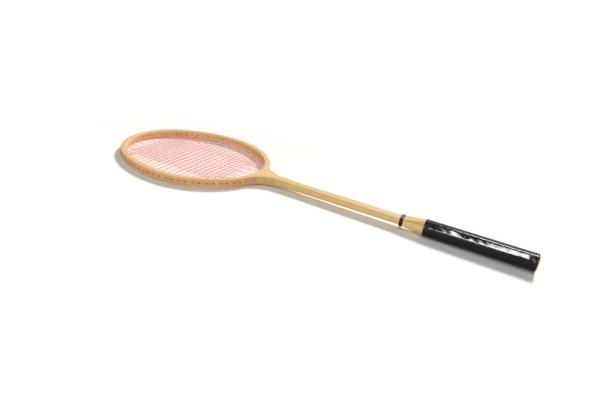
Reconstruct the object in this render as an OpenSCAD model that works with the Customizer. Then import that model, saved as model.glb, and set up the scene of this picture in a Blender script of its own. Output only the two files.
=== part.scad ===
// Wooden badminton racket, lying flat with its string bed level.
// The origin is the centre of the butt, +X runs to the tip, +Y is one side of the head and +Z is up.
// A laminated bow goes round the head, and its two tails run side by side down to the butt.

/* [Overall] */
// Length from the butt to the outside of the tip
overall_length = 650; // [560:1:780]

/* [Head] */
// Width over the outside of the bow
head_width = 212; // [180:1:256]
// From the head's widest line to the outside of the tip
tip_reach = 130; // [116:1:160]
// From the head's widest line to the bottom of its oval
throat_reach = 120; // [110:1:150]
// Depth of the bow round the head
head_depth = 12; // [9:0.1:15]

/* [Bow] */
// Thickness of one ply
ply_thickness = 2.4; // [1.8:0.1:3]
// Thickness of the closed ring that lines the head
ring_thickness = 1.5; // [1.3:0.1:2.5]
// Glue line left between the two tails
glue_gap = 0.08; // [0.04:0.02:0.2]
// Easing of the bow's long edges
edge_ease = 1.2; // [0.6:0.1:1.7]

/* [Shaft] */
// Depth of the shaft
shaft_depth = 9.6; // [8:0.1:12]
// Length over which the bow's depth falls from the head's to the shaft's
taper_length = 34; // [15:1:60]

/* [Handle] */
// Width across the flats of the eight-sided handle, without its wrap
handle_flats = 21; // [18:0.1:26]
// Length of the wrapped handle
wrap_length = 145; // [110:1:180]
// Thickness of the wrap
wrap_thickness = 0.8; // [0.4:0.1:1.6]
// How far the wrap's corners are rounded off
wrap_corner_cut = 0.33; // [0.1:0.01:0.5]
// Length of the bare flare between the wrap and the neck band
flare_length = 28.5; // [20:0.5:50]
// Thickness of the cheeks where they run out under the neck band
lip_thickness = 0.5; // [0.4:0.1:1]
// Width of the neck band along the shaft
band_width = 5; // [3:0.5:10]
// Thickness of the neck band
band_thickness = 1; // [0.6:0.1:2]

/* [Strings] */
// Diameter of the string
string_d = 1; // [0.7:0.05:1.2]
// Gap between the layer of main strings and the layer of cross strings
layer_gap = 0.1; // [0.05:0.05:0.3]
// Room round a string and its neighbour in a string hole
hole_clearance = 0.1; // [0.05:0.05:0.3]
// Gap between the bow and the string that lies along it
seat_gap = 0.08; // [0.06:0.02:0.2]
// Main strings on each side of the centre line
mains_per_side = 8; // [6:2:8]
// Main strings on each side that pass through the throat wedge
throat_mains = 3; // [2:1:3]
// Cross strings
cross_count = 20; // [16:2:20]
// Length of string left inside the head at each tied end
tail_inside = 4.5; // [3:0.5:6]
// Length of a knot along the string that it is tied round
knot_length = 2.6; // [2:0.2:4]
// Thickness of a knot outside the string that it is tied round
knot_wall = 1; // [0.6:0.1:1.4]

/* [Hidden] */
$fn = 144;

wood = "burlywood";
vinyl = "#1f1d20";
cord = "#f08c80";

// Bow: three plies, and the ring inside the head
ply_count = 3;
bow_thickness = ply_count * ply_thickness;
rim_thickness = bow_thickness + ring_thickness;
tail_half = glue_gap / 2 + bow_thickness;
half_depth = head_depth / 2;
shaft_half_depth = shaft_depth / 2;

// The outer face is a chain of arcs that meet on the sides of whole-number right triangles,
// so that neighbouring centres and their meeting point lie on one line.
half_width = head_width / 2;
tip_step = (tip_reach - half_width) / 2;
tip_radius = tip_reach - 3 * tip_step;
upper_radius = half_width + 4 * tip_step;
shoulder_step = (throat_reach - half_width) / 2;
shoulder_radius = throat_reach - 4 * shoulder_step;
lower_radius = half_width + 3 * shoulder_step;
throat_radius = (5 * shoulder_radius - 13 * tail_half) / 8;

widest_x = overall_length - tip_reach;
tip_centre = [overall_length - tip_radius, 0];
upper_centre = [widest_x, half_width - upper_radius];
lower_centre = [widest_x, half_width - lower_radius];
shoulder_centre = [widest_x - throat_reach + shoulder_radius, 0];
throat_centre = [shoulder_centre.x - 12 * (shoulder_radius + throat_radius) / 13,
    tail_half + throat_radius];

// Directions from an arc's centre to its two ends
ahead_right = [3, -4];
ahead_left = [3, 4];
across = [0, 5];
back_left = [-4, 3];
back_right = [-4, -3];
turn_in = [-12, 5];
turn_out = [12, -5];
to_tail = [0, -13];

// One row for each arc from the tip to the tail: centre, radius, first angle, last angle
arcs = [
    [tip_centre, tip_radius, 0, heading(ahead_left)],
    [upper_centre, upper_radius, heading(ahead_left), heading(across)],
    [lower_centre, lower_radius, heading(across), heading(back_left)],
    [shoulder_centre, shoulder_radius, heading(back_left), heading(turn_in)],
    [throat_centre, throat_radius, heading(turn_out), heading(to_tail)]
];
throat_arc = len(arcs) - 1;

function heading(v) = atan2(v.y, v.x);
function unit(v) = v / norm(v);
function mirrored(p) = [p.x, -p.y];
function backwards(list) = [for (k = [len(list) - 1 : -1 : 0]) list[k]];
function arc_turn(k) = sign(arcs[k][3] - arcs[k][2]);
function arc_length(k) = arcs[k][1] * abs(arcs[k][3] - arcs[k][2]) * PI / 180;
function arc_start(k) = k == 0 ? 0 : arc_start(k - 1) + arc_length(k - 1);
function arc_at(s) = max([for (k = [0 : throat_arc]) if (s >= arc_start(k)) k]);
function arc_angle(k, s) = arcs[k][2] + arc_turn(k) * (s - arc_start(k)) / arcs[k][1] * 180 / PI;
function spoke(angle) = [cos(angle), sin(angle)];
function arc_point(k, angle, out) = arcs[k][0] + (arcs[k][1] + arc_turn(k) * out) * spoke(angle);

// Point beside the bow's outer face, s along it from the tip and out of it by out
function bow_point(s, out) = s < 0 ? mirrored(bow_point(-s, out))
    : let (k = arc_at(s)) arc_point(k, arc_angle(k, s), out);

// Cross-section of a strip, eased by 0 or more on its low and its high side
ease_share = 0.3;
function corner(x, z, side, level, ease) = ease == 0 ? [[x, z]]
    : let (
        cut = ease * ease_share,
        points = [[x - side * ease, z], [x - side * cut, z - level * cut], [x, z - level * ease]]
    ) side * level < 0 ? points : backwards(points);
function section(low, high, half, ease_low, ease_high) = [
    each corner(high, -half, 1, -1, ease_high),
    each corner(high, half, 1, 1, ease_high),
    each corner(low, half, -1, 1, ease_low),
    each corner(low, -half, -1, -1, ease_low)
];

module both_sides() {
    children();
    mirror([0, 1, 0]) children();
}

module along_x(start, length)
    translate([start, 0, 0]) rotate([90, 0, 90]) linear_extrude(length) children();

// Solid between two outlines with the same number of points, one at each of two places along X
module loft(start, first, end, last) {
    n = len(first);
    points = [for (p = first) [start, p.x, p.y], for (p = last) [end, p.x, p.y]];
    sides = [for (k = [0 : n - 1]) [k, n + k, n + (k + 1) % n, (k + 1) % n]];
    polyhedron(points, [[for (k = [0 : n - 1]) k], backwards([for (k = [n : 2 * n - 1]) k]), each sides]);
}

// Part of a ring between two directions from its centre
sector_reach = 60;
module arc_piece(centre, outline, from, to) {
    intersection() {
        translate(centre) rotate_extrude() polygon(outline);
        linear_extrude(2 * head_depth, center = true)
            polygon([centre, centre + sector_reach * from, centre + sector_reach * (from + to),
                centre + sector_reach * to]);
    }
}

// Arcs that every strip round the head shares, from one depth to another inside the outer face
module head_arcs(from, to, ease_out, ease_in) {
    tip_section = section(tip_radius - to, tip_radius - from, half_depth, ease_in, ease_out);
    upper_section = section(upper_radius - to, upper_radius - from, half_depth, ease_in, ease_out);
    lower_section = section(lower_radius - to, lower_radius - from, half_depth, ease_in, ease_out);
    arc_piece(tip_centre, tip_section, ahead_right, ahead_left);
    both_sides() {
        arc_piece(upper_centre, upper_section, ahead_left, across);
        arc_piece(lower_centre, lower_section, across, back_left);
    }
}

// Handle: cheeks round the shaft, a lip under the neck band, and the wrap
lip_start = wrap_length + flare_length;
handle_end = lip_start + band_width;
lip_half_width = tail_half + lip_thickness;
lip_half_depth = shaft_half_depth + lip_thickness;
lip_chamfer = lip_thickness;
band_chamfer = lip_chamfer + band_thickness / 2;
octagon_turn = 360 / 16;
function octagon_reach(flats) = flats / 2 / cos(octagon_turn);
function octagon(flats) = [for (k = [0 : 7]) octagon_reach(flats) * spoke((2 * k + 1) * octagon_turn)];
function chamfered(w, h, cut) = [[w, h - cut], [w - cut, h], [cut - w, h], [-w, h - cut],
    [-w, cut - h], [cut - w, -h], [w - cut, -h], [w, cut - h]];

// One tail of a ply: tapered below the throat, eased along the bare shaft, square inside the handle
module tail(from, to, ease) {
    low = tail_half - to;
    high = tail_half - from;
    taper_start = throat_centre.x - taper_length;
    loft(taper_start, section(low, high, shaft_half_depth, 0, ease),
        throat_centre.x, section(low, high, half_depth, 0, ease));
    along_x(handle_end, taper_start - handle_end) polygon(section(low, high, shaft_half_depth, 0, ease));
    along_x(0, handle_end) polygon(section(low, high, shaft_half_depth, 0, 0));
}

// One ply, counted from the outside: tail, head and tail in one strip
module ply(index, ease) {
    from = index * ply_thickness;
    to = from + ply_thickness;
    shoulder_section = section(shoulder_radius - to, shoulder_radius - from, half_depth, 0, ease);
    throat_section = section(throat_radius + from, throat_radius + to, half_depth, ease, 0);
    difference() {
        union() {
            head_arcs(from, to, ease, 0);
            both_sides() {
                arc_piece(shoulder_centre, shoulder_section, back_left, turn_in);
                arc_piece(throat_centre, throat_section, turn_out, to_tail);
                tail(from, to, ease);
            }
        }
        string_holes();
    }
}

// Strings: evenly spaced holes round the bow, the first half a pitch from the tip's centre
string_r = string_d / 2;
string_level = (string_d + layer_gap) / 2;
hole_r = string_level + string_r + hole_clearance;
hole_overrun = 3;
hole_count = 2 * mains_per_side + cross_count - throat_mains;
hole_pitch = arc_start(throat_arc) / (hole_count - 0.5);
function hole_s(k) = (k + 0.5) * hole_pitch;
function hole_inside(k) = bow_point(hole_s(k), -rim_thickness);

// The strings through the wedge leave by the bow's outer face between throat and shaft
exit_rise = 1.5;
function throat_exit_y(k) = max(hole_inside(k).y, tail_half + exit_rise);
function throat_exit_angle(k) = -asin((throat_centre.y - throat_exit_y(k)) / throat_radius);
function throat_exit_s(k) = arc_start(throat_arc)
    + throat_radius * (heading(turn_out) - throat_exit_angle(k)) * PI / 180;
function yoke_inside(k) = let (y = hole_inside(k).y)
    [shoulder_centre.x - sqrt((shoulder_radius - rim_thickness) ^ 2 - y ^ 2), y];

// Foot of main string k: its hole, the distance along the bow, and the point inside the head
function foot_hole(k) = hole_count - 1 - (k - throat_mains);
function main_foot_s(k) = k < throat_mains ? throat_exit_s(k) : hole_s(foot_hole(k));
function main_foot_inside(k) = k < throat_mains ? yoke_inside(k) : hole_inside(foot_hole(k));

module rod(a, b, r)
    translate([a.x, a.y, 0]) rotate([0, 90, heading(b - a)]) cylinder(h = norm(b - a), r = r);

module string_hole(outside, inside) {
    run_out = hole_overrun * unit(outside - inside);
    rod(inside - run_out, outside + run_out, hole_r);
}

module string_holes() {
    both_sides() {
        for (k = [0 : hole_count - 1]) string_hole(bow_point(hole_s(k), 0), hole_inside(k));
        for (k = [0 : throat_mains - 1]) string_hole(bow_point(throat_exit_s(k), 0), yoke_inside(k));
    }
}

// Route of a string: straight across the head, out through a hole, along the bow and back in
seat = string_r + seat_gap;
mouth_depth = 0.25;
corner_run = 0.9;
fold_out = 1;
fold_gap = 0.5;
function mouth(s, inside) = let (outside = bow_point(s, 0)) outside + mouth_depth * unit(inside - outside);
function along_bow(a, b) = let (
        first = a + corner_run * sign(b - a),
        last = b - corner_run * sign(b - a),
        steps = 2 * round(abs(b - a) / hole_pitch)
    ) [for (k = [0 : steps]) bow_point(first + (last - first) * k / steps, seat)];

// A string that leaves by a slanting hole turns back over itself
function fold_back(s, inside) = let (
        outside = bow_point(s, 0),
        turn = outside + fold_out * unit(outside - inside),
        face = unit(bow_point(s, 1) - outside)
    ) [turn, turn + (string_d + fold_gap) * face];

function main_run(k) = [
    mouth(hole_s(k), hole_inside(k)), hole_inside(k),
    main_foot_inside(k), mouth(main_foot_s(k), main_foot_inside(k))
];
function foot_link(k) = let (a = main_foot_s(k), b = main_foot_s(k + 1), middle = (a + b) / 2)
    k < throat_mains
        ? [each fold_back(a, main_foot_inside(k)), for (s = [middle, b + corner_run]) bow_point(s, seat)]
        : along_bow(a, b);
function main_tail(k, host) = [
    each along_bow(hole_s(k), hole_s(host)), mouth(hole_s(host), hole_inside(host)),
    hole_inside(host), hole_inside(host) - [0, tail_inside]
];

// One side of the main string, from the tip's centre out to its knot
function main_half(k) = k == mains_per_side ? main_tail(mains_per_side - 1, mains_per_side + 1)
    : k % 2 == 0 ? [each main_run(k), each foot_link(k), each main_half(k + 1)]
    : [each backwards(main_run(k)), if (k < mains_per_side - 1) each along_bow(hole_s(k), hole_s(k + 1)),
        each main_half(k + 1)];
main_start = [bow_point(0, seat), bow_point(hole_s(0) - corner_run, seat)];
function main_route() = let (half = [each main_start, each main_half(0)])
    [each backwards([for (k = [1 : len(half) - 1]) mirrored(half[k])]), each half];

// The cross string starts and ends on the right, tied to the last main string but one
tie_main = mains_per_side - 2;
tie_foot = foot_hole(tie_main);
tie_way = unit(hole_inside(tie_foot) - hole_inside(tie_main));
last_cross = mains_per_side + cross_count - 1;
function cross_run(k) = let (s = hole_s(k), inside = hole_inside(k), out = mouth(s, inside))
    [mirrored(out), mirrored(inside), inside, out];
function cross_link(k) = along_bow(hole_s(k), hole_s(k + 1));
function cross_body(k) = let (leftward = (k - mains_per_side) % 2 == 0) [
    each leftward ? cross_run(k) : backwards(cross_run(k)),
    if (k < last_cross) each leftward ? cross_link(k) : [for (p = cross_link(k)) mirrored(p)],
    if (k < last_cross) each cross_body(k + 1)
];
function cross_tail(k, host, reach) = [
    each along_bow(hole_s(k), hole_s(host)), mouth(hole_s(host), hole_inside(host)),
    hole_inside(host), hole_inside(host) + reach * tie_way
];
function cross_route() = [
    each backwards([for (p = cross_tail(mains_per_side, tie_main, tail_inside)) mirrored(p)]),
    each cross_body(mains_per_side),
    each [for (p = cross_tail(last_cross, tie_foot, -tail_inside)) mirrored(p)]
];

// Round tube along a level route, mitred at its bends
string_sides = 8;
function bisector(route, k) = let (
        back = k > 0 ? unit(route[k] - route[k - 1]) : unit(route[1] - route[0]),
        on = k < len(route) - 1 ? unit(route[k + 1] - route[k]) : back
    ) [unit(back + on), norm(back + on) / 2];
function tube_ring(route, k, level) =
    let (b = bisector(route, k), side = string_r * [-b[0].y, b[0].x] / b[1]) [for (j = [0 : string_sides - 1])
        let (turn = spoke(360 * (j + 0.5) / string_sides), p = route[k] + turn.x * side)
            [p.x, p.y, level + string_r * turn.y]];
function route_length(route) = norm(route[0] - route[1])
    + (len(route) > 2 ? route_length([for (k = [1 : len(route) - 1]) route[k]]) : 0);
module tube(route, level) {
    n = string_sides;
    last = (len(route) - 1) * n;
    points = [for (k = [0 : len(route) - 1]) each tube_ring(route, k, level)];
    walls = [for (k = [0 : n : last - n], j = [0 : n - 1]) let (a = k + j, b = k + (j + 1) % n)
        each [[a, b, b + n], [a, b + n, a + n]]];
    caps = [for (j = [1 : n - 2]) each [[0, j + 1, j], [last, last + j, last + j + 1]]];
    polyhedron(points, [each walls, each caps]);
}

// Barrel-shaped knot round a string, centred on a point and lying along a direction
module knot(centre, direction, level) {
    bore = string_r + hole_clearance / 2;
    outer = bore + knot_wall;
    half = knot_length / 2;
    shoulder = knot_wall / 2;
    translate([centre.x, centre.y, level]) rotate([0, 90, heading(direction)]) rotate_extrude()
        polygon([[bore, -half], [outer - shoulder / 2, -half], [outer, shoulder - half],
            [outer, half - shoulder], [outer - shoulder / 2, half], [bore, half]]);
}

module outer_ply() color(wood) ply(0, edge_ease);

module middle_ply() color(wood) ply(1, 0);

module inner_ply() color(wood) ply(2, 0);

module head_ring() color(wood) difference() {
    union() {
        head_arcs(bow_thickness, rim_thickness, 0, edge_ease);
        arc_piece(shoulder_centre, section(shoulder_radius - rim_thickness, shoulder_radius - bow_thickness,
            half_depth, edge_ease, 0), back_left, back_right);
    }
    string_holes();
}

// The wedge's three thin edges are cut off blunt
wedge_edge = 0.3;
wedge_tip_x = throat_centre.x
    + sqrt((throat_radius + bow_thickness) ^ 2 - (throat_centre.y - wedge_edge) ^ 2);
horn_turn = 4;
horn = shoulder_centre + shoulder_radius * spoke(heading(turn_in) + horn_turn);
module throat_wedge() color(wood) difference() {
    linear_extrude(head_depth, center = true) difference() {
        polygon([shoulder_centre, horn, [wedge_tip_x, horn.y], [wedge_tip_x, -horn.y], mirrored(horn)]);
        translate(shoulder_centre) circle(shoulder_radius - bow_thickness);
        both_sides() translate(throat_centre) circle(throat_radius + bow_thickness);
    }
    string_holes();
}

module handle_blank() {
    along_x(0, wrap_length) polygon(octagon(handle_flats));
    loft(wrap_length, octagon(handle_flats),
        lip_start, chamfered(lip_half_width, lip_half_depth, lip_chamfer));
    along_x(lip_start, band_width) polygon(chamfered(lip_half_width, lip_half_depth, lip_chamfer));
}

module side_cheek() color(wood) intersection() {
    handle_blank();
    translate([0, tail_half, -handle_flats]) cube([handle_end, handle_flats, 2 * handle_flats]);
}

module left_cheek() side_cheek();

module right_cheek() mirror([0, 1, 0]) side_cheek();

module face_cheek() color(wood) intersection() {
    handle_blank();
    translate([0, -tail_half, shaft_half_depth]) cube([handle_end, 2 * tail_half, handle_flats]);
}

module top_cheek() face_cheek();

module bottom_cheek() mirror([0, 0, 1]) face_cheek();

module grip_wrap() color(vinyl) along_x(0, wrap_length) {
    outer = handle_flats + 2 * wrap_thickness;
    difference() {
        intersection() {
            polygon(octagon(outer));
            circle(octagon_reach(outer) - wrap_corner_cut);
        }
        polygon(octagon(handle_flats));
    }
}

module neck_band() color(vinyl) along_x(lip_start, band_width) difference() {
    polygon(chamfered(lip_half_width + band_thickness, lip_half_depth + band_thickness, band_chamfer));
    polygon(chamfered(lip_half_width, lip_half_depth, lip_chamfer));
}

echo(main_string_length = route_length(main_route()), cross_string_length = route_length(cross_route()));

module main_string() color(cord) tube(main_route(), string_level);

module cross_string() color(cord) tube(cross_route(), -string_level);

module string_knots() color(cord) {
    tied = tail_inside + knot_length / 2;
    both_sides() knot(hole_inside(mains_per_side + 1) - [0, tied], [0, 1], -string_level);
    knot(mirrored(hole_inside(tie_main) + tied * tie_way), mirrored(tie_way), string_level);
    knot(mirrored(hole_inside(tie_foot) - tied * tie_way), mirrored(tie_way), string_level);
}

outer_ply();
middle_ply();
inner_ply();
head_ring();
throat_wedge();
left_cheek();
right_cheek();
top_cheek();
bottom_cheek();
grip_wrap();
neck_band();
main_string();
cross_string();
string_knots();
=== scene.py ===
import math
from collections import namedtuple

import bpy
from mathutils import Matrix, Quaternion, Vector, noise


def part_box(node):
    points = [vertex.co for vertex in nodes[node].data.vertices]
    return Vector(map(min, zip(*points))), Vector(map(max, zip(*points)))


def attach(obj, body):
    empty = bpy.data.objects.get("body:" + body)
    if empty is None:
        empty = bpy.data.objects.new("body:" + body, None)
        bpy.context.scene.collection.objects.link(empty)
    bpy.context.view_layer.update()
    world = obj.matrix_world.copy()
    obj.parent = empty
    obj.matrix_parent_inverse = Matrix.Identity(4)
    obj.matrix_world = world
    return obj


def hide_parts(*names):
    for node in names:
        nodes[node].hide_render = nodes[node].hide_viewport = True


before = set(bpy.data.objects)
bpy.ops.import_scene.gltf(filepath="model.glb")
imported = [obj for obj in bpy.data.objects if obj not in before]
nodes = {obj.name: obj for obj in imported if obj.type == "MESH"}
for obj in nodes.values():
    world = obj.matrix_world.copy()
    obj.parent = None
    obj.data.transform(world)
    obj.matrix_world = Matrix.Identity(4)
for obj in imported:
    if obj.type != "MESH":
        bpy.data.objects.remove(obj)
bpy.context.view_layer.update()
MM = 0.001

# The bow: three pale strips, steamed, bent round one former and glued face to face, then varnished.
# One length goes from the butt, round the head and back to the butt.
# Evenly spaced holes are drilled through it for the strings.
bow_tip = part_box("outer_ply")[1].x
bow_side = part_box("outer_ply")[1].y
ply_thickness = bow_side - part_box("middle_ply")[1].y
tail_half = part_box("top_cheek")[1].y
tip_reach = 130 * MM
throat_reach = 120 * MM
mains_per_side = 8
throat_mains = 3
cross_count = 20
hole_count = 2 * mains_per_side + cross_count - throat_mains

Arc = namedtuple("Arc", "centre radius first turn span start")


def heading(direction):
    return math.atan2(direction[1], direction[0])


def spoke(angle):
    return Vector((math.cos(angle), math.sin(angle)))


def bow_arcs():
    """Arcs of the bow's outer face on the +Y side, from the tip to where the tail runs straight.

    Neighbours meet on the long sides of 3-4-5 and 5-12-13 triangles.
    """
    tip_step = (tip_reach - bow_side) / 2
    tip_radius = tip_reach - 3 * tip_step
    upper_radius = bow_side + 4 * tip_step
    foot_step = (throat_reach - bow_side) / 2
    lower_radius = bow_side + 3 * foot_step
    shoulder_radius = throat_reach - 4 * foot_step
    throat_radius = (5 * shoulder_radius - 13 * tail_half) / 8
    widest_x = bow_tip - tip_reach
    shoulder_x = widest_x - 4 * foot_step
    throat_x = shoulder_x - 12 * (shoulder_radius + throat_radius) / 13
    chain = [
        ((bow_tip - tip_radius, 0), tip_radius, (1, 0), (3, 4)),
        ((widest_x, -4 * tip_step), upper_radius, (3, 4), (0, 5)),
        ((widest_x, -3 * foot_step), lower_radius, (0, 5), (-4, 3)),
        ((shoulder_x, 0), shoulder_radius, (-4, 3), (-12, 5)),
        ((throat_x, tail_half + throat_radius), throat_radius, (12, -5), (0, -13)),
    ]
    arcs = []
    start = 0
    for centre, radius, first, last in chain:
        sweep = heading(last) - heading(first)
        turn = math.copysign(1, sweep)
        arcs.append(Arc(Vector(centre), radius, heading(first), turn, abs(sweep), start))
        start += radius * abs(sweep)
    return arcs


arcs = bow_arcs()
shoulder_arc = arcs[3]
throat_arc = arcs[4]
hole_pitch = throat_arc.start / (hole_count - 0.5)


def set_input(tree, socket, value):
    """Links a socket to an input, or sets the input to a constant."""
    if isinstance(value, bpy.types.NodeSocket):
        tree.links.new(value, socket)
    else:
        socket.default_value = value


def reckon(tree, operation, *values):
    """One Math node, fed with sockets or numbers."""
    node = tree.nodes.new("ShaderNodeMath")
    node.operation = operation
    for socket, value in zip(node.inputs, values):
        set_input(tree, socket, value)
    return node.outputs[0]


def fade(tree, value, low, high, at_low=0.0, at_high=1.0):
    """Smooth step of a value between two bounds."""
    node = tree.nodes.new("ShaderNodeMapRange")
    node.interpolation_type = "SMOOTHSTEP"
    for socket, number in zip(node.inputs[1:5], (low, high, at_low, at_high)):
        socket.default_value = number
    set_input(tree, node.inputs[0], value)
    return node.outputs[0]


def blend_colour(tree, factor, first, second, mode="MIX"):
    """Mixes two colours, or multiplies them."""
    node = tree.nodes.new("ShaderNodeMix")
    node.data_type = "RGBA"
    node.blend_type = mode
    set_input(tree, node.inputs[0], factor)
    set_input(tree, node.inputs[6], first)
    set_input(tree, node.inputs[7], second)
    return node.outputs[2]


def shader_group(name, inputs, outputs):
    """New shader node group with named sockets: the tree, its input node and its output node."""
    tree = bpy.data.node_groups.new(name, "ShaderNodeTree")
    for label, kind in inputs:
        tree.interface.new_socket(label, in_out="INPUT", socket_type=kind)
    for label, kind in outputs:
        tree.interface.new_socket(label, in_out="OUTPUT", socket_type=kind)
    return tree, tree.nodes.new("NodeGroupInput"), tree.nodes.new("NodeGroupOutput")


def along_and_depth(tree, x, side, arc):
    """Where a point lies on one arc: how far along it and how deep inside it, and if past its end."""
    first = spoke(arc.first)
    dx = reckon(tree, "SUBTRACT", x, arc.centre.x)
    dy = reckon(tree, "SUBTRACT", side, arc.centre.y)
    ahead = reckon(tree, "MULTIPLY_ADD", dx, first.x, reckon(tree, "MULTIPLY", dy, first.y))
    swing = reckon(tree, "MULTIPLY_ADD", dy, first.x, reckon(tree, "MULTIPLY", dx, -first.y))
    angle = reckon(tree, "ARCTAN2", reckon(tree, "MULTIPLY", swing, arc.turn), ahead)
    square = reckon(tree, "MULTIPLY_ADD", dx, dx, reckon(tree, "MULTIPLY", dy, dy))
    along = reckon(tree, "MULTIPLY_ADD", angle, arc.radius, arc.start)
    depth = reckon(tree, "MULTIPLY_ADD", reckon(tree, "SQRT", square), -arc.turn, arc.turn * arc.radius)
    return along, depth, reckon(tree, "GREATER_THAN", angle, arc.span)


def bow_line_group(name, chain, has_tail):
    """Measures a point along the bow from the tip, signed by its side, and in from the outer face."""
    tree, given, result = shader_group(
        name,
        [("Position", "NodeSocketVector")],
        [("Along", "NodeSocketFloat"), ("Depth", "NodeSocketFloat"), ("Height", "NodeSocketFloat")],
    )
    split = tree.nodes.new("ShaderNodeSeparateXYZ")
    tree.links.new(given.outputs["Position"], split.inputs[0])
    x, y, z = split.outputs
    side = reckon(tree, "ABSOLUTE", y)
    along, depth, past = along_and_depth(tree, x, side, chain[0])

    def swap(old, new):
        return reckon(tree, "MULTIPLY_ADD", past, reckon(tree, "SUBTRACT", new, old), old)

    for arc in chain[1:]:
        arc_along, arc_depth, arc_past = along_and_depth(tree, x, side, arc)
        along = swap(along, arc_along)
        depth = swap(depth, arc_depth)
        past = reckon(tree, "MULTIPLY", past, arc_past)
    if has_tail:
        last = chain[-1]
        tail_start = last.start + last.radius * last.span + last.centre.x
        along = swap(along, reckon(tree, "SUBTRACT", tail_start, x))
        depth = swap(depth, reckon(tree, "SUBTRACT", tail_half, side))
    signed = reckon(tree, "MULTIPLY", along, reckon(tree, "SIGN", y))
    for label, value in (("Along", signed), ("Depth", depth), ("Height", z)):
        tree.links.new(value, result.inputs[label])
    return tree


def stretched_noise(tree, vector, cycles, detail):
    """Noise drawn out along the fibres; cycles to the metre, along them and across them."""
    along, across = cycles
    stretch = tree.nodes.new("ShaderNodeVectorMath")
    stretch.operation = "MULTIPLY"
    tree.links.new(vector, stretch.inputs[0])
    stretch.inputs[1].default_value = (along, across, across)
    texture = tree.nodes.new("ShaderNodeTexNoise")
    texture.inputs["Scale"].default_value = 1
    texture.inputs["Detail"].default_value = detail
    tree.links.new(stretch.outputs[0], texture.inputs["Vector"])
    return texture.outputs["Fac"]


pith_across = -30 * MM
pith_up = 38 * MM
ring_cycles = (5, 520)
ring_contrast = (0.38, 0.64)


def growth_rings(tree, fibre):
    """Bands of early and late wood: rings round a pith beside the piece, drawn out along the fibres."""
    split = tree.nodes.new("ShaderNodeSeparateXYZ")
    tree.links.new(fibre, split.inputs[0])
    across = reckon(tree, "SUBTRACT", split.outputs["Y"], pith_across)
    up = reckon(tree, "SUBTRACT", split.outputs["Z"], pith_up)
    square = reckon(tree, "MULTIPLY_ADD", across, across, reckon(tree, "MULTIPLY", up, up))
    ring = tree.nodes.new("ShaderNodeCombineXYZ")
    tree.links.new(split.outputs["X"], ring.inputs["X"])
    tree.links.new(reckon(tree, "SQRT", square), ring.inputs["Y"])
    return fade(tree, stretched_noise(tree, ring.outputs[0], ring_cycles, detail=2), *ring_contrast)


thread_cycles = (30, 2100)
thread_contrast = (0.25, 0.75)
thread_shade = (0.92, 1.06)
thread_relief = 0.5
pore_cycles = (150, 2900)
pore_contrast = (0.62, 0.74)
pore_tint = (0.62, 0.5, 0.4, 1)
pore_level = 0.6
sheen_contrast = (0.2, 0.8)
wood_roughness = (0.34, 0.5)


def wood_grain_group():
    """Straight-grained pale wood: growth rings, fine fibres and short dark pores, all along X."""
    tree, given, result = shader_group(
        "wood_grain",
        [("Fibre", "NodeSocketVector"), ("Pale", "NodeSocketColor"), ("Deep", "NodeSocketColor")],
        [("Color", "NodeSocketColor"), ("Roughness", "NodeSocketFloat"), ("Relief", "NodeSocketFloat")],
    )
    fibre = given.outputs["Fibre"]
    threads = stretched_noise(tree, fibre, thread_cycles, detail=3)
    pores = fade(tree, stretched_noise(tree, fibre, pore_cycles, detail=1), *pore_contrast)
    colour = blend_colour(tree, growth_rings(tree, fibre), given.outputs["Pale"], given.outputs["Deep"])
    shade = fade(tree, threads, *thread_contrast, *thread_shade)
    colour = blend_colour(tree, 1.0, colour, shade, "MULTIPLY")
    pitted = blend_colour(tree, 1.0, colour, pore_tint, "MULTIPLY")
    colour = blend_colour(tree, reckon(tree, "MULTIPLY", pores, pore_level), colour, pitted)
    roughness = fade(tree, threads, *sheen_contrast, *wood_roughness)
    relief = reckon(tree, "SUBTRACT", reckon(tree, "MULTIPLY", threads, thread_relief), pores)
    for label, value in (("Color", colour), ("Roughness", roughness), ("Relief", relief)):
        tree.links.new(value, result.inputs[label])
    return tree


bow_line = bow_line_group("bow_line", arcs, has_tail=True)
wood_grain = wood_grain_group()


def place_group(tree, group, **inputs):
    """Puts a node group in a material and gives its outputs."""
    node = tree.nodes.new("ShaderNodeGroup")
    node.node_tree = group
    for label, value in inputs.items():
        set_input(tree, node.inputs[label], value)
    return node.outputs


def new_material(name):
    """Material with its node tree, its Principled shader and the object's own coordinates."""
    material = bpy.data.materials.new(name)
    material.use_nodes = True
    tree = material.node_tree
    coordinates = tree.nodes.new("ShaderNodeTexCoord")
    return material, tree, tree.nodes["Principled BSDF"], coordinates.outputs["Object"]


def add_bump(tree, shader, relief, depth):
    bump = tree.nodes.new("ShaderNodeBump")
    bump.inputs["Distance"].default_value = depth
    tree.links.new(relief, bump.inputs["Height"])
    tree.links.new(bump.outputs["Normal"], shader.inputs["Normal"])


grain_depth = 0.03 * MM


def varnish(tree, shader, colour, roughness, relief):
    """Wood under a thin clear varnish with a soft gloss."""
    tree.links.new(colour, shader.inputs["Base Color"])
    tree.links.new(roughness, shader.inputs["Roughness"])
    add_bump(tree, shader, relief, grain_depth)
    shader.inputs["Specular IOR Level"].default_value = 0.25
    shader.inputs["Coat Weight"].default_value = 0.12
    shader.inputs["Coat Roughness"].default_value = 0.2


glue_core = 0.012
glue_edge = 0.045
half_strip = 0.5


def glue_lines(tree, depth):
    """Mask of the thin glue lines; a line's core and edge are shares of a strip's thickness."""
    share = reckon(tree, "DIVIDE", depth, ply_thickness)
    off_line = reckon(tree, "PINGPONG", share, half_strip)
    on_line = fade(tree, off_line, glue_core, glue_edge, 1, 0)
    return reckon(tree, "MULTIPLY", on_line, reckon(tree, "GREATER_THAN", share, half_strip))


# Dark mark round each string hole: dirt, and painted shade of the hole.
hole_dirt_and_shade_brown = (0.17, 0.07, 0.02, 1)
dirt_and_shade_core = 1 * MM
dirt_and_shade_edge = 1.7 * MM


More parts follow.
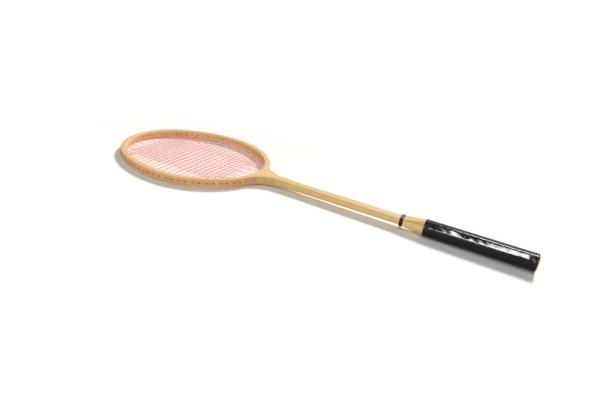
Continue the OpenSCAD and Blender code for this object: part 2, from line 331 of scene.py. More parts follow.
def hole_dirt_and_shade_mask(tree, along, height):
    """Mask of the dark mark round each string hole: dirt, and painted shade of the hole."""
    way = reckon(tree, "ABSOLUTE", along)
    step = reckon(tree, "FRACT", reckon(tree, "DIVIDE", way, hole_pitch))
    off_hole = reckon(tree, "MULTIPLY_ADD", step, hole_pitch, -hole_pitch / 2)
    square = reckon(tree, "MULTIPLY_ADD", off_hole, off_hole, reckon(tree, "MULTIPLY", height, height))
    near_hole = fade(tree, reckon(tree, "SQRT", square), dirt_and_shade_core, dirt_and_shade_edge, 1, 0)
    drilled = reckon(tree, "LESS_THAN", way, throat_arc.start + hole_pitch / 2)
    return reckon(tree, "MULTIPLY", near_hole, drilled)


no_tint = (1, 1, 1, 1)
# Painted shade: the outer face of the head is painted browner and darker than its top.
face_painted_shade = (0.92, 0.84, 0.74, 1)
face_shade_skin = (0.1 * MM, 0.3 * MM)
shaft_tint = (0.93, 1.03, 0.88, 1)
shaft_tint_run = 70 * MM


def wood_tint_and_face_shade(tree, along, depth):
    """Tint of the strips: painted shade, browner and darker, on the outer face of the head, and
    yellower along the shaft.
    """
    way = reckon(tree, "ABSOLUTE", along)
    past_throat = fade(tree, way, throat_arc.start, throat_arc.start + shaft_tint_run)
    on_shaded_face = fade(tree, depth, *face_shade_skin, 1, 0)
    head_tint_with_shade = blend_colour(tree, on_shaded_face, no_tint, face_painted_shade)
    return blend_colour(tree, past_throat, head_tint_with_shade, shaft_tint)


strip_shift = 0.83
strip_tones = (0.93, 1.05)


def strip_fibre(tree, place, layer):
    """Place along, into and up the bent strip, moved on by layer so that no two have one grain."""
    fibre = tree.nodes.new("ShaderNodeCombineXYZ")
    along = reckon(tree, "MULTIPLY_ADD", layer, strip_shift, place["Along"])
    for socket, value in zip(fibre.inputs, (along, place["Depth"], place["Height"])):
        tree.links.new(value, socket)
    return fibre.outputs[0]


def strip_tone(tree, layer):
    """Tone of one strip, a little lighter or darker than the next."""
    tone = tree.nodes.new("ShaderNodeTexWhiteNoise")
    tone.noise_dimensions = "1D"
    tree.links.new(layer, tone.inputs["W"])
    return fade(tree, tone.outputs["Value"], 0, 1, *strip_tones)


glue_brown = (0.2, 0.1, 0.04, 1)
glue_level = 0.55
glue_relief = -2


def strip_material(name, line, pale, deep, dirt_and_shade_level):
    """Varnished strip: grain along the bend, glue lines between strips, painted shade on the head's
    outer face, and dirt and painted shade round the holes.
    """
    material, tree, shader, position = new_material(name)
    place = place_group(tree, line, Position=position)
    inwards = reckon(tree, "MAXIMUM", place["Depth"], 0)
    layer = reckon(tree, "FLOOR", reckon(tree, "DIVIDE", inwards, ply_thickness))
    fibre = strip_fibre(tree, place, layer)
    grain = place_group(tree, wood_grain, Fibre=fibre, Pale=pale, Deep=deep)
    tint_and_face_shade = wood_tint_and_face_shade(tree, place["Along"], place["Depth"])
    glue = glue_lines(tree, place["Depth"])
    # Dirt and painted shade round the holes.
    dirt_and_shade = reckon(tree, "MULTIPLY", hole_dirt_and_shade_mask(tree, place["Along"], place["Height"]), dirt_and_shade_level)
    colour = blend_colour(tree, 1.0, grain["Color"], strip_tone(tree, layer), "MULTIPLY")
    colour = blend_colour(tree, 1.0, colour, tint_and_face_shade, "MULTIPLY")
    colour = blend_colour(tree, reckon(tree, "MULTIPLY", glue, glue_level), colour, glue_brown)
    colour = blend_colour(tree, dirt_and_shade, colour, hole_dirt_and_shade_brown)
    relief = reckon(tree, "MULTIPLY_ADD", glue, glue_relief, grain["Relief"])
    varnish(tree, shader, colour, grain["Roughness"], relief)
    return material


def finish_node(name, material):
    """Puts a finish on a CAD piece that keeps its own shape."""
    nodes[name].data.materials.clear()
    nodes[name].data.materials.append(material)


bow_pale = (0.86, 0.57, 0.29, 1)
bow_deep = (0.78, 0.46, 0.2, 1)
bow_wood = strip_material("bow_wood", bow_line, bow_pale, bow_deep, dirt_and_shade_level=0.65)
for name in ("outer_ply", "middle_ply", "inner_ply"):
    finish_node(name, bow_wood)

# The head ring: one thin strip of the same wood, bent into a closed oval and glued inside the bow.
# At the bottom of the head it carries on across the throat, over the wedge.
ring_line = bow_line_group("ring_line", arcs[:4], has_tail=False)
# The ring's wood is painted lighter than the bow's: painted bounce light on the inside of the head.
ring_pale_painted_lighter = (0.93, 0.62, 0.315, 1)
ring_deep_painted_lighter = (0.86, 0.53, 0.24, 1)
ring_wood = strip_material("ring_wood", ring_line, ring_pale_painted_lighter, ring_deep_painted_lighter, dirt_and_shade_level=0.45)
finish_node("head_ring", ring_wood)

# The throat wedge: a block sawn to fill the fork of the bow, glued in and drilled together with it.
# Its grain runs along the shaft, and it is a little yellower than the bow.
wedge_pale = (0.86, 0.62, 0.26, 1)
wedge_deep = (0.77, 0.51, 0.19, 1)
wedge_cut = (0, 0, 0)


def block_material(name, pale, deep, cut):
    """Varnished solid wood with its grain along the shaft; cut is its place in the sawn plank."""
    material, tree, shader, position = new_material(name)
    plank = tree.nodes.new("ShaderNodeMapping")
    plank.inputs["Location"].default_value = cut
    tree.links.new(position, plank.inputs["Vector"])
    grain = place_group(tree, wood_grain, Fibre=plank.outputs[0], Pale=pale, Deep=deep)
    varnish(tree, shader, grain["Color"], grain["Roughness"], grain["Relief"])
    return material


finish_node("throat_wedge", block_material("wedge_wood", wedge_pale, wedge_deep, wedge_cut))

# The handle cheeks: four blocks of wood glued round the shaft and shaped together to eight sides.
# In front of the grip they flare down to the shaft.
cheek_pale = (0.85, 0.645, 0.29, 1)
cheek_deep = (0.73, 0.5, 0.19, 1)
cheek_cuts = {
    "left_cheek": (0.3, 0.05, -0.02),
    "right_cheek": (0.6, -0.01, 0.07),
    "top_cheek": (0.9, 0.02, 0.09),
    "bottom_cheek": (1.2, 0.06, 0.03),
}
for name, cut in cheek_cuts.items():
    finish_node(name, block_material(name + "_wood", cheek_pale, cheek_deep, cut))

# The grip: one sheet of glossy black vinyl, pulled round the handle, glued and lapped underneath.
# It ripples a little along its length, and near the butt it is crumpled.
# It is trimmed just short of the butt, where a thin edge of the cheeks shows.
grip_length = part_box("grip_wrap")[1].x
grip_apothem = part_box("grip_wrap")[1].z
handle_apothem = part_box("top_cheek")[1].z
handle_sides = 8
grip_trim = 1.1 * MM
grip_edge = 0.35 * MM
edge_share = 0.3
grip_columns = 128
grip_ring_step = 0.8 * MM
round_corners = 42
sharp_corners = 400

# Waves of the sheet: length along the handle, change round it, and place in the noise.
Wave = namedtuple("Wave", "length change place")
ripple_wave = Wave(6.5 * MM, 1.3, (0, 3))
swell_wave = Wave(32.5 * MM, 0.9, (7, 1))
crumple_wave = Wave(4.5 * MM, 3.3, (2, 9))
ripple_height = 0.09 * MM
swell_share = 0.6
back_ripple = 0.2
front_ripple = 0.9
front_from = 0.4 * grip_length
front_full = 0.65 * grip_length
crumple_height = 0.55 * MM
crumple_reach = 17 * MM
crumple_full = 0.15 * crumple_reach
fold_share = 0.7
fold_sink = 0.3
lap_height = 0.3 * MM
lap_angle = math.radians(-100)
lap_step = 0.08
grip_lap_width = 0.5


def smooth(low, high, value):
    t = min(1, max(0, (value - low) / (high - low)))
    return t * t * (3 - 2 * t)


def lap(angle, width):
    """Share of a lap's height: a step at the free edge that dies away over the sheet beneath."""
    past = (angle - lap_angle) % (2 * math.pi)
    return smooth(0, lap_step * width, past) * (1 - smooth(0, width, past))


def octagon_reach(angle, apothem, corners):
    """Distance from the axis to an eight-sided outline; a lower power makes rounder corners."""
    total = 0
    for k in range(handle_sides):
        total += max(0, math.cos(angle - k * 2 * math.pi / handle_sides)) ** corners
    return apothem * total ** (-1 / corners)


def wave_at(wave, x, angle):
    around = Vector((math.cos(angle), math.sin(angle), 0))
    return noise.noise(Vector((x / wave.length, *wave.place)) + wave.change * around)


def grip_relief(x, angle):
    """How far the sheet stands off its plain shape, by its ripples, crumples and lap."""
    front = back_ripple + front_ripple * smooth(front_from, front_full, x)
    ripple = wave_at(ripple_wave, x, angle) * front + swell_share * wave_at(swell_wave, x, angle)
    fold = 1 - 2 * abs(wave_at(crumple_wave, x, angle))
    near_butt = 1 - smooth(crumple_full, crumple_reach, x)
    relief = ripple_height * ripple
    relief += crumple_height * near_butt * (fold_share * fold - fold_sink)
    return relief + lap_height * lap(angle, grip_lap_width)


def mesh_piece(name, points, faces, material):
    """New object with a smooth-shaded mesh, placed in the scene."""
    mesh = bpy.data.meshes.new(name)
    mesh.from_pydata(points, [], faces)
    mesh.polygons.foreach_set("use_smooth", [True] * len(mesh.polygons))
    mesh.materials.append(material)
    piece = bpy.data.objects.new(name, mesh)
    bpy.context.scene.collection.objects.link(piece)
    return piece


def ring_at(x, reach):
    """Ring of points round the handle's axis; reach gives the distance out at each angle."""
    ring = []
    for c in range(grip_columns):
        angle = 2 * math.pi * c / grip_columns
        ring.append((x, reach(angle) * math.cos(angle), reach(angle) * math.sin(angle)))
    return ring


def sleeve(name, rings, material):
    """Closed sleeve: each ring joins the next, and the last, on the inside, joins the first."""
    count = len(rings[0])
    points = [point for ring in rings for point in ring]
    faces = []
    for r in range(len(rings)):
        here = r * count
        there = (r + 1) % len(rings) * count
        for c in range(count):
            d = (c + 1) % count
            faces.append((here + c, here + d, there + d, there + c))
    return mesh_piece(name, points, faces, material)


def grip_places():
    """Places of the sheet's rings along the handle, closer at its rounded edges."""
    plain_start = grip_trim + grip_edge
    plain_end = grip_length - grip_edge
    count = round(grip_length / grip_ring_step)
    places = [grip_trim, grip_trim + edge_share * grip_edge]
    places += [plain_start + (plain_end - plain_start) * k / count for k in range(count + 1)]
    return places + [grip_length - edge_share * grip_edge, grip_length]


def grip_rings():
    """Rings of the sheet's outer face from butt to flare, then two on its inner face."""
    rings = []
    for x in grip_places():
        inset = grip_edge - min(x - grip_trim, grip_length - x, grip_edge)
        rounding = grip_edge - math.sqrt(grip_edge**2 - inset**2)

        def outside(angle):
            plain = octagon_reach(angle, grip_apothem, round_corners)
            return plain - rounding + grip_relief(x, angle)

        rings.append(ring_at(x, outside))
    for x in (grip_length, grip_trim):
        rings.append(ring_at(x, lambda angle: octagon_reach(angle, handle_apothem, sharp_corners)))
    return rings


vinyl_black = (0.004, 0.004, 0.005, 1)
vinyl_worn = (0.012, 0.011, 0.013, 1)
vinyl_roughness = (0.045, 0.11)
pebbles_per_metre = 1400
pebble_depth = 0.003 * MM
scuffs_per_metre = 90
scuff_contrast = (0.5, 0.75)


def vinyl_material():
    """Glossy black vinyl with a fine embossed grain and faint scuffs."""
    material, tree, shader, position = new_material("grip_vinyl")
    pebble = tree.nodes.new("ShaderNodeTexVoronoi")
    pebble.inputs["Scale"].default_value = pebbles_per_metre
    tree.links.new(position, pebble.inputs["Vector"])
    scuff = tree.nodes.new("ShaderNodeTexNoise")
    scuff.inputs["Scale"].default_value = scuffs_per_metre
    scuff.inputs["Detail"].default_value = 6
    tree.links.new(position, scuff.inputs["Vector"])
    worn = fade(tree, scuff.outputs["Fac"], *scuff_contrast)
    tree.links.new(blend_colour(tree, worn, vinyl_black, vinyl_worn), shader.inputs["Base Color"])
    tree.links.new(fade(tree, worn, 0, 1, *vinyl_roughness), shader.inputs["Roughness"])
    shader.inputs["Specular IOR Level"].default_value = 0.2
    add_bump(tree, shader, pebble.outputs["Distance"], pebble_depth)
    return material


grip = sleeve("grip_cover", grip_rings(), vinyl_material())
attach(grip, "root")
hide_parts("grip_wrap")

# The neck band: a turn of dark tape that binds the thin front lips of the cheeks to the shaft.
# It is a fibrous brown-black tape, pressed down at both edges, and its end is lapped on the underside.
band_low, band_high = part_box("neck_band")
band_thickness = 1 * MM
band_corners = 10
lip_corners = 18
band_lap_height = 0.25 * MM
band_lap_width = 0.6
tape_black = (0.008, 0.006, 0.003, 1)
tape_brown = (0.025, 0.018, 0.009, 1)
tape_cycles = (500, 1100)
tape_contrast = (0.3, 0.7)
tape_roughness = (0.38, 0.55)
tape_depth = 0.04 * MM

# Section of the tape: share of its width, and share of its thickness there.
band_profile = ((0, 0.25), (0.06, 0.62), (0.2, 0.92), (0.5, 1), (0.8, 0.92), (0.94, 0.62), (1, 0.25))


def box_reach(angle, half_width, half_depth, corners):
    """Distance from the axis to a four-sided outline; a lower power makes rounder corners."""
    across = abs(math.cos(angle)) * half_depth
    up = abs(math.sin(angle)) * half_width
    longest = max(across, up)
    shape = (across / longest) ** corners + (up / longest) ** corners
    return half_width * half_depth / longest * shape ** (-1 / corners)


def lip_reach(angle):
    return box_reach(angle, band_high.y - band_thickness, band_high.z - band_thickness, lip_corners)


def band_rings():
    """Rings of the tape's outer face, then two on its inner face."""
    rings = []
    for share, bulge in band_profile:

        def outside(angle):
            full = box_reach(angle, band_high.y, band_high.z, band_corners)
            plain = lip_reach(angle) + (full - lip_reach(angle)) * bulge
            return plain + band_lap_height * lap(angle, band_lap_width)

        rings.append(ring_at(band_low.x + share * (band_high.x - band_low.x), outside))
    rings.append(ring_at(band_high.x, lip_reach))
    rings.append(ring_at(band_low.x, lip_reach))
    return rings


def tape_material():
    """Brown-black tape with a fine fibrous face."""
    material, tree, shader, position = new_material("band_tape")
    fibres = stretched_noise(tree, position, tape_cycles, detail=3)
    tree.links.new(blend_colour(tree, fibres, tape_black, tape_brown), shader.inputs["Base Color"])
    tree.links.new(fade(tree, fibres, *tape_contrast, *tape_roughness), shader.inputs["Roughness"])
    shader.inputs["Specular IOR Level"].default_value = 0.2
    add_bump(tree, shader, fibres, tape_depth)
    return material


band = sleeve("neck_tape", band_rings(), tape_material())
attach(band, "root")
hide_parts("neck_band")

# The strings: two lengths of coral twisted nylon, one for the mains and one for the crosses.
# Each leaves by a hole, lies along the bow and comes back in by the next, drawn tight all the way.
# Inside the head they are woven over and under each other.
string_radius = 0.5 * MM
strand_count = 3
strand_depth = 0.09
twist_length = 9 * MM
string_sides = 9
bend_radius = 0.8 * MM
bend_points = 4
bed_step = 0.75 * MM
ring_thickness = 1.5 * MM
rim_thickness = bow_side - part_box("head_ring")[1].y + ring_thickness
clear_of_string = 1.04
weave_height = clear_of_string * string_radius
weave_step = 1 * MM
seat_gap = 0.08 * MM
seat = string_radius + seat_gap
seat_step = 2 * MM
corner_run = 0.9 * MM
mouth_depth = 0.25 * MM
exit_rise = 1.5 * MM
fold_out = 1 * MM
fold_back = 1.5 * MM
tail_inside = 4.5 * MM
knot_length = 2.6 * MM
tie_main = mains_per_side - 2
tie_cross = mains_per_side + 1
last_cross = mains_per_side + cross_count - 1


def bow_point(along, out):
    """Point off the bow's outer face on the +Y side: how far along it from the tip, and how far out."""
    arc = [a for a in arcs if along >= a.start][-1]
    angle = arc.first + arc.turn * (along - arc.start) / arc.radius
    return arc.centre + (arc.radius + arc.turn * out) * spoke(angle)


def hole_along(k):
    """Distance of hole k along the bow from the tip."""
    return (k + 0.5) * hole_pitch


def hole_inside(k):
    """Point where hole k comes out inside the head."""
    return bow_point(hole_along(k), -rim_thickness)


def foot_hole(k):
    """Hole in the bow at the foot of main string k."""
    return hole_count - 1 - (k - throat_mains)


def main_foot(k):
    """Foot of main string k: its place along the bow's outer face, and its point inside the head."""
    if k >= throat_mains:
        return hole_along(foot_hole(k)), hole_inside(foot_hole(k))
    y = hole_inside(k).y
    drop = throat_arc.centre.y - max(y, tail_half + exit_rise)
    angle = -math.asin(drop / throat_arc.radius)
    reach = shoulder_arc.radius - rim_thickness
    inside = Vector((shoulder_arc.centre.x - math.sqrt(reach**2 - y**2), y))
    return throat_arc.start + throat_arc.radius * (throat_arc.first - angle), inside


def raised(points, z):
    return [Vector((p.x, p.y, z)) for p in points]


def mouth(along, inside):
    """Point where a string turns out of its hole on to the bow's outer face."""
    outside = bow_point(along, 0)
    return outside + mouth_depth * (inside - outside).normalized()


def along_bow(a, b):
    """String that lies along the outer face, clear of the holes at both of its ends."""
    run = math.copysign(corner_run, b - a)
    steps = max(2, round(abs(b - a) / seat_step))
    return [bow_point(a + run + (b - a - 2 * run) * k / steps, seat) for k in range(steps + 1)]


def woven(marks):
    """Line that eases from height to height between marked points."""
    points = []
    for a, b in zip(marks, marks[1:]):
        steps = max(1, round((b - a).length / weave_step))
        for k in range(steps):
            point = a.lerp(b, k / steps)
            point.z = a.z + (b.z - a.z) * (1 - math.cos(math.pi * k / steps)) / 2
            points.append(point)
    return [*points, marks[-1]]


def main_place(k, x):
    """Sideways distance of main string k from the centre line at a place along the racket."""
    tip = hole_inside(k)
    foot = main_foot(k)[1]
    return foot.y + (tip.y - foot.y) * (x - foot.x) / (tip.x - foot.x)


def main_lift(side, k, row):
    """Height of a main string where it meets a cross: over and under by turns."""
    column = k if side > 0 else -1 - k
    return weave_height if (column + row) % 2 == 0 else -weave_height


def crossings(k):
    """Rows that main string k meets, each with its distance along the racket."""
    tip = hole_inside(k)
    foot = main_foot(k)[1]
    rows = []
    for row in range(cross_count):
        end = hole_inside(mains_per_side + row)
        if foot.x < end.x < tip.x and main_place(k, end.x) < end.y:
            rows.append((row, end.x))
    return rows


def main_run(side, k):
    """Main string k from its tip hole to its foot hole, woven through the crosses."""
    tip = hole_inside(k)
    foot_along, foot = main_foot(k)
    shared = side < 0 and k == tie_main
    z = weave_height if shared else 0
    way = (foot - tip).normalized()
    marks = raised([mouth(hole_along(k), tip), tip], z)
    if shared:
        marks += raised([tip + (tail_inside + knot_length) * way], z)
    marks += [Vector((x, main_place(k, x), main_lift(side, k, row))) for row, x in crossings(k)]
    if shared:
        marks += raised([foot - (tail_inside + knot_length) * way], z)
    return woven(marks + raised([foot, mouth(foot_along, foot)], z))


def foot_link(k):
    """Link on the outer face from the foot of main k to the next; a slanting main folds back first."""
    a, inside = main_foot(k)
    b = main_foot(k + 1)[0]
    if k >= throat_mains:
        return raised(along_bow(a, b), 0)
    outside = bow_point(a, 0)
    turn = outside + fold_out * (outside - inside).normalized()
    back = turn + fold_back * (bow_point(a, fold_out) - outside).normalized()
    return raised([turn, back, bow_point((a + b) / 2, seat), bow_point(b + corner_run, seat)], 0)


def loose_end(k, host, way, z):
    """End of a string: along the face from hole k, in by the host hole and on inside the head."""
    inside = hole_inside(host)
    face = raised(along_bow(hole_along(k), hole_along(host)), 0)
    return face + raised([mouth(hole_along(host), inside), inside, inside + tail_inside * way], z)


def on_side(side, points):
    return [Vector((p.x, side * p.y, p.z)) for p in points]


def main_half(side):
    """One side of the main string, from the middle of the tip out to its knot."""
    half = raised([bow_point(0, seat), bow_point(hole_along(0) - corner_run, seat)], 0)
    for k in range(mains_per_side):
        run = main_run(side, k)
        if k % 2 == 0:
            half += run + foot_link(k)
        else:
            half += reversed(run)
            if k < mains_per_side - 1:
                half += raised(along_bow(hole_along(k), hole_along(k + 1)), 0)
    half += loose_end(mains_per_side - 1, tie_cross, Vector((0, -1)), weave_height)
    return on_side(side, half)


def cross_run(row):
    """Cross string from the right hole to the left hole, woven through the mains."""
    k = mains_per_side + row
    inside = hole_inside(k)
    shared = k == tie_cross
    z = -weave_height if shared else 0
    half_marks = {}
    for side in (-1, 1):
        marks = []
        for main in range(mains_per_side):
            if any(row == met for met, x in crossings(main)):
                place = side * main_place(main, inside.x)
                marks.append(Vector((inside.x, place, -main_lift(side, main, row))))
        if shared:
            marks.append(Vector((inside.x, side * (inside.y - tail_inside - knot_length), z)))
        ends = raised([inside, mouth(hole_along(k), inside)], z)
        half_marks[side] = marks + on_side(side, ends)
    return woven([*reversed(half_marks[-1]), *half_marks[1]])


def cross_route():
    """The whole cross string, tied at both ends to one main string on the right."""
    tie_foot = foot_hole(tie_main)
    way = (hole_inside(tie_foot) - hole_inside(tie_main)).normalized()
    start = loose_end(mains_per_side, tie_main, way, -weave_height)
    route = list(reversed(on_side(-1, start)))
    for row in range(cross_count):
        side = 1 if row % 2 == 0 else -1
        route += cross_run(row) if side > 0 else reversed(cross_run(row))
        k = mains_per_side + row
        if k < last_cross:
            route += on_side(side, raised(along_bow(hole_along(k), hole_along(k + 1)), 0))
    return route + on_side(-1, loose_end(last_cross, tie_foot, -way, -weave_height))


def add_node(tree, kind, links, **settings):
    """New node with its settings, its inputs linked to sockets or set to constants."""
    node = tree.nodes.new(kind)
    for label, value in settings.items():
        setattr(node, label, value)
    for label, value in links.items():
        set_input(tree, node.inputs[label], value)
    return node.outputs


def twisted_path(tree, given):
    """Path with rounded bends and even steps, turned more and more along its length."""
    path = add_node(tree, "GeometryNodeMeshToCurve", {"Mesh": given["Path"]})["Curve"]
    bends = {"Curve": path, "Radius": given["Bend Radius"], "Count": bend_points, "Limit Radius": True}
    path = add_node(tree, "GeometryNodeFilletCurve", bends, mode="POLY")["Curve"]
    steps = {"Curve": path, "Length": given["Step"]}
    path = add_node(tree, "GeometryNodeResampleCurve", steps, mode="LENGTH")["Curve"]
    length = add_node(tree, "GeometryNodeSplineParameter", {})["Length"]
    turn = reckon(tree, "MULTIPLY", length, given["Twist"])
    return add_node(tree, "GeometryNodeSetCurveTilt", {"Curve": path, "Tilt": turn})["Curve"]


def strand_outline(tree, given):
    """Outline of the strands laid together: a ring that swells at each of them."""
    size = {"Resolution": given["Sides"], "Radius": given["Radius"]}
    ring = add_node(tree, "GeometryNodeCurvePrimitiveCircle", size)["Curve"]
    spot = add_node(tree, "GeometryNodeInputPosition", {})["Position"]
    parts = add_node(tree, "ShaderNodeSeparateXYZ", {"Vector": spot})
    angle = reckon(tree, "ARCTAN2", parts["Y"], parts["X"])
    lobe = reckon(tree, "COSINE", reckon(tree, "MULTIPLY", angle, strand_count))
    swell = reckon(tree, "MULTIPLY_ADD", lobe, given["Strand Depth"], 1)
    scaled = add_node(tree, "ShaderNodeVectorMath", {"Vector": spot, "Scale": swell}, operation="SCALE")
    moved = {"Geometry": ring, "Position": scaled["Vector"]}
    return add_node(tree, "GeometryNodeSetPosition", moved)["Geometry"]


def string_tree():
    """Geometry Nodes: a twisted three-strand string along a path of edges."""
    tree = bpy.data.node_groups.new("twisted_string", "GeometryNodeTree")
    face = tree.interface
    face.new_socket("Path", in_out="INPUT", socket_type="NodeSocketGeometry")
    for label in ("Radius", "Strand Depth", "Twist", "Bend Radius", "Step"):
        face.new_socket(label, in_out="INPUT", socket_type="NodeSocketFloat")
    face.new_socket("Sides", in_out="INPUT", socket_type="NodeSocketInt")
    face.new_socket("Material", in_out="INPUT", socket_type="NodeSocketMaterial")
    face.new_socket("String", in_out="OUTPUT", socket_type="NodeSocketGeometry")
    given = tree.nodes.new("NodeGroupInput").outputs
    path = twisted_path(tree, given)
    tube = {"Curve": path, "Profile Curve": strand_outline(tree, given), "Fill Caps": True}
    body = add_node(tree, "GeometryNodeCurveToMesh", tube)["Mesh"]
    body = add_node(tree, "GeometryNodeSetShadeSmooth", {"Geometry": body})["Geometry"]
    body = add_node(tree, "GeometryNodeRealizeInstances", {"Geometry": body})["Geometry"]
    finish = {"Geometry": body, "Material": given["Material"]}
    body = add_node(tree, "GeometryNodeSetMaterial", finish)["Geometry"]
    tree.links.new(body, tree.nodes.new("NodeGroupOutput").inputs["String"])
    return tree


twisted_string = string_tree()


def path_object(name, routes):
    """Object of loose edges along routes of points."""
    points = []
    edges = []
    for route in routes:
        first = len(points)
        points += route
        edges += [(first + k, first + k + 1) for k in range(len(route) - 1)]
    mesh = bpy.data.meshes.new(name)
    mesh.from_pydata(points, edges, [])
    path = bpy.data.objects.new(name, mesh)
    bpy.context.scene.collection.objects.link(path)
    return path


def string_piece(name, routes, material, step):
    """Runs the string tree along routes of points and keeps the result as a plain mesh."""
    path = path_object(name + "_path", routes)
    modifier = path.modifiers.new("string", "NODES")
    modifier.node_group = twisted_string
    values = {
        "Radius": string_radius,
        "Strand Depth": strand_depth,
        "Twist": 2 * math.pi / twist_length,
        "Bend Radius": bend_radius,
        "Step": step,
        "Sides": string_sides,
        "Material": material,
    }
    for item in twisted_string.interface.items_tree:
        if item.in_out == "INPUT" and item.name in values:
            modifier[item.identifier] = values[item.name]
    evaluated = path.evaluated_get(bpy.context.evaluated_depsgraph_get())
    piece = bpy.data.objects.new(name, bpy.data.meshes.new_from_object(evaluated))
    bpy.context.scene.collection.objects.link(piece)
    path_mesh = path.data
    bpy.data.objects.remove(path)
    bpy.data.meshes.remove(path_mesh)
    return piece


nylon_light = (0.96, 0.41, 0.3, 1)
nylon_deep = (0.92, 0.34, 0.24, 1)
nylon_roughness = (0.3, 0.42)
patches_per_metre = 260
patch_contrast = (0.35, 0.65)
# Dirt and painted shade on the string at the mouth of each hole.
mouth_dirt_and_shade_depth = (1 * MM, 1.8 * MM)
mouth_dirt_and_shade_level = 0.6


def nylon_material():
    """Coral nylon with a soft gloss, a little uneven, and darkened where it enters a hole, by dirt and
    painted shade.
    """
    material, tree, shader, position = new_material("string_nylon")
    texture = tree.nodes.new("ShaderNodeTexNoise")
    texture.inputs["Scale"].default_value = patches_per_metre
    texture.inputs["Detail"].default_value = 3
    tree.links.new(position, texture.inputs["Vector"])
    patch = fade(tree, texture.outputs["Fac"], *patch_contrast)
    colour = blend_colour(tree, patch, nylon_light, nylon_deep)
    place = place_group(tree, bow_line, Position=position)
    # Painted shade and dirt where the string goes into a hole.
    at_mouth = fade(tree, place["Depth"], *mouth_dirt_and_shade_depth, mouth_dirt_and_shade_level, 0)
    dirt_and_shade = reckon(tree, "MULTIPLY", hole_dirt_and_shade_mask(tree, place["Along"], place["Height"]), at_mouth)
    tree.links.new(blend_colour(tree, dirt_and_shade, colour, hole_dirt_and_shade_brown), shader.inputs["Base Color"])
    tree.links.new(fade(tree, patch, 0, 1, *nylon_roughness), shader.inputs["Roughness"])
    return material


nylon = nylon_material()
main_route = [*reversed(main_half(-1)[1:]), *main_half(1)]
main_string = string_piece("main_strings", [main_route], nylon, bed_step)
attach(main_string, "root")
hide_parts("main_string")

cross_string = string_piece("cross_strings", [cross_route()], nylon, bed_step)
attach(cross_string, "root")
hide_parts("cross_string")

# The knots: each end of a string is wound round the string beside it, drawn tight and cut off short.
# They are of the same nylon, and sit just inside the head ring.
knot_turns = 2.5
knot_radius = 2 * weave_height
knot_points = 40
knot_step = 0.3 * MM
stub_length = 1.2 * MM
stub_out = 0.5
stub_ahead = 0.8
stub_aside = -0.4


def knot_coil(start, way, axis_z, sign):
    """Coil of a loose end round its neighbour, on along way; sign is the side that it starts from."""
    aside = Vector((-way.y, way.x, 0))
    ahead = Vector((way.x, way.y, 0))
    axis = Vector((start.x, start.y, axis_z))
    up = Vector((0, 0, sign))
    points = []
    for k in range(knot_points + 1):
        turn = 2 * math.pi * knot_turns * k / knot_points
        centre = axis + knot_length * k / knot_points * ahead
        points.append(centre + knot_radius * (math.cos(turn) * up + math.sin(turn) * aside))
    out = (points[-1] - axis - knot_length * ahead).normalized()
    points.append(points[-1] + stub_length * (stub_out * out + stub_ahead * ahead + stub_aside * aside))
    return points


def knot_coils():
    """Coils of the main string's two ends, then of the cross string's two ends."""
    coils = []
    for side in (-1, 1):
        inside = hole_inside(tie_cross)
        start = Vector((inside.x, side * (inside.y - tail_inside)))
        coils.append(knot_coil(start, Vector((0, -side)), -weave_height, 1))
    tip = hole_inside(tie_main)
    foot = hole_inside(foot_hole(tie_main))
    for near, far in ((tip, foot), (foot, tip)):
        way = (far - near).normalized()
        start = near + tail_inside * way
        coils.append(knot_coil(Vector((start.x, -start.y)), Vector((way.x, -way.y)), weave_height, -1))
    return coils


knots = string_piece("tied_knots", knot_coils(), nylon, knot_step)
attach(knots, "root")
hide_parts("string_knots")

# The floor: a plain white board, tilted a little so that the racket lies on its grip and its tip.
# It shows white to the camera and still takes the racket's shadow.
grip_rest = Vector((grip_length, -grip_apothem))
tip_rest = Vector((bow_tip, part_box("outer_ply")[0].z))
lap_room = 0.45 * MM
floor_reach = 6
floor_white = (0.97, 0.96, 0.95, 1)
white = (1, 1, 1, 1)
racket_middle = Vector((0.33, 0, 0))
clear_of_racket = Vector((0.5, 0.25, 1))
glow_from = 0.8
glow_full = 1.8
near_glow = 0.05
far_glow = 0.5


def floor_height(x):
    """Height of the floor under a place along the racket, with room for the grip's lap."""
    share = (x - grip_rest.x) / (tip_rest.x - grip_rest.x)
    return grip_rest.y + share * (tip_rest.y - grip_rest.y) - lap_room


def seen_rays(tree):
    """Mask of what the camera sees, straight or by a reflection or through a clear piece."""
    rays = tree.nodes.new("ShaderNodeLightPath").outputs
    seen = reckon(tree, "MAXIMUM", rays["Is Camera Ray"], rays["Is Glossy Ray"])
    return reckon(tree, "MAXIMUM", seen, rays["Is Transmission Ray"])


def floor_material():
    """Matt white board that glows a little to the camera, and more away from the racket."""
    material, tree, shader, position = new_material("floor_white")
    shader.inputs["Base Color"].default_value = floor_white
    shader.inputs["Roughness"].default_value = 0.9
    shader.inputs["Specular IOR Level"].default_value = 0.1
    shader.inputs["Emission Color"].default_value = white
    offset = tree.nodes.new("ShaderNodeMapping")
    offset.vector_type = "TEXTURE"
    offset.inputs["Location"].default_value = racket_middle
    offset.inputs["Scale"].default_value = clear_of_racket
    tree.links.new(position, offset.inputs["Vector"])
    distance = tree.nodes.new("ShaderNodeVectorMath")
    distance.operation = "LENGTH"
    tree.links.new(offset.outputs[0], distance.inputs[0])
    glow = fade(tree, distance.outputs["Value"], glow_from, glow_full, near_glow, far_glow)
    strength = reckon(tree, "MULTIPLY", seen_rays(tree), glow)
    tree.links.new(strength, shader.inputs["Emission Strength"])
    return material


floor_points = []
for x, y in ((-1, -1), (1, -1), (1, 1), (-1, 1)):
    floor_points.append((floor_reach * x, floor_reach * y, floor_height(floor_reach * x)))
floor = mesh_piece("floor", floor_points, [(0, 1, 2, 3)], floor_material())

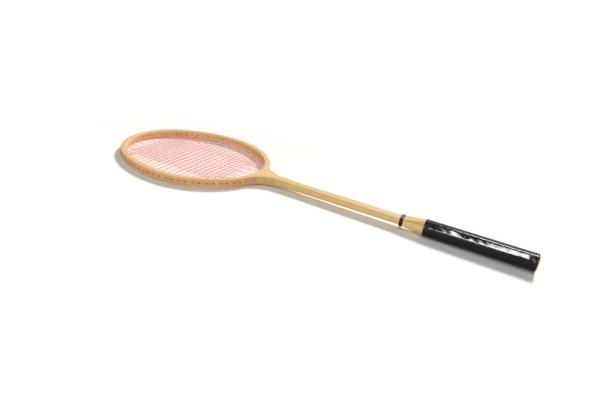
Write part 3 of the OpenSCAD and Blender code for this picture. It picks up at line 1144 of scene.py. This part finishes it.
# The light: a soft far light from behind the racket, a wide lamp on the near side, a white room,
# and a strip lamp that glints on the grip.
far_light_way = Vector((0.08, 0.98, -0.9))
far_light_level = 3.15
far_light_spread = math.radians(14)
strip_place = Vector((0.08, 0.706, 1.443))
strip_target = Vector((0.08, 0.023, 0))
strip_tilt = math.radians(7.4)
strip_size = (0.43, 0.052)
strip_power = 4.6
near_lamp_place = Vector((0.35, 1.55, 0.42))
near_lamp_target = Vector((0.35, 0, 0))
near_lamp_size = 0.8
near_lamp_power = 6.4
room_tint = (1, 0.93, 0.84, 1)
room_level = 0.13


def add_light(name, kind, place, way, tilt=0):
    """Light at a place that shines along way, turned about it by tilt."""
    light = bpy.data.lights.new(name, kind)
    carrier = bpy.data.objects.new(name, light)
    carrier.location = place
    turn = way.to_track_quat("-Z", "Y") @ Quaternion((0, 0, 1), tilt)
    carrier.rotation_euler = turn.to_euler()
    bpy.context.scene.collection.objects.link(carrier)
    return light


far_light = add_light("far_light", "SUN", -2 * far_light_way, far_light_way)
far_light.energy = far_light_level
far_light.angle = far_light_spread
strip = add_light("strip_lamp", "AREA", strip_place, strip_target - strip_place, strip_tilt)
strip.shape = "RECTANGLE"
strip.size, strip.size_y = strip_size
strip.energy = strip_power
near_lamp = add_light("near_lamp", "AREA", near_lamp_place, near_lamp_target - near_lamp_place)
near_lamp.shape = "DISK"
near_lamp.size = near_lamp_size
near_lamp.energy = near_lamp_power

world = bpy.data.worlds.new("white_room")
world.use_nodes = True
room = world.node_tree
background = room.nodes["Background"]
room_seen = seen_rays(room)
set_input(room, background.inputs["Color"], blend_colour(room, room_seen, room_tint, white))
set_input(room, background.inputs["Strength"], fade(room, room_seen, 0, 1, room_level, 1))
bpy.context.scene.world = world
bpy.context.scene.view_settings.view_transform = "Standard"

# The camera: low behind the butt's near side, as in the photograph.
# Its place, roll and focal length were fitted to the racket's outline there.
camera_azimuth = math.radians(-157.04)
camera_elevation = math.radians(24.76)
camera_roll = math.radians(8.04)
camera_distance = 678.64 * MM
camera_target = Vector((315.44, 38.22, 0)) * MM
lens = bpy.data.cameras.new("photo_view")
lens.sensor_width = 36
lens.lens = 28.8
lens.clip_start = 0.01
back = Vector((
    math.sin(camera_azimuth) * math.cos(camera_elevation),
    -math.cos(camera_azimuth) * math.cos(camera_elevation),
    math.sin(camera_elevation),
))
level_right = Vector((math.cos(camera_azimuth), math.sin(camera_azimuth), 0))
level_up = back.cross(level_right)
right = math.cos(camera_roll) * level_right + math.sin(camera_roll) * level_up
up = math.cos(camera_roll) * level_up - math.sin(camera_roll) * level_right
camera = bpy.data.objects.new("photo_view", lens)
camera.matrix_world = Matrix((right, up, back)).transposed().to_4x4()
camera.location = camera_target + camera_distance * back
bpy.context.scene.collection.objects.link(camera)
bpy.context.scene.camera = camera
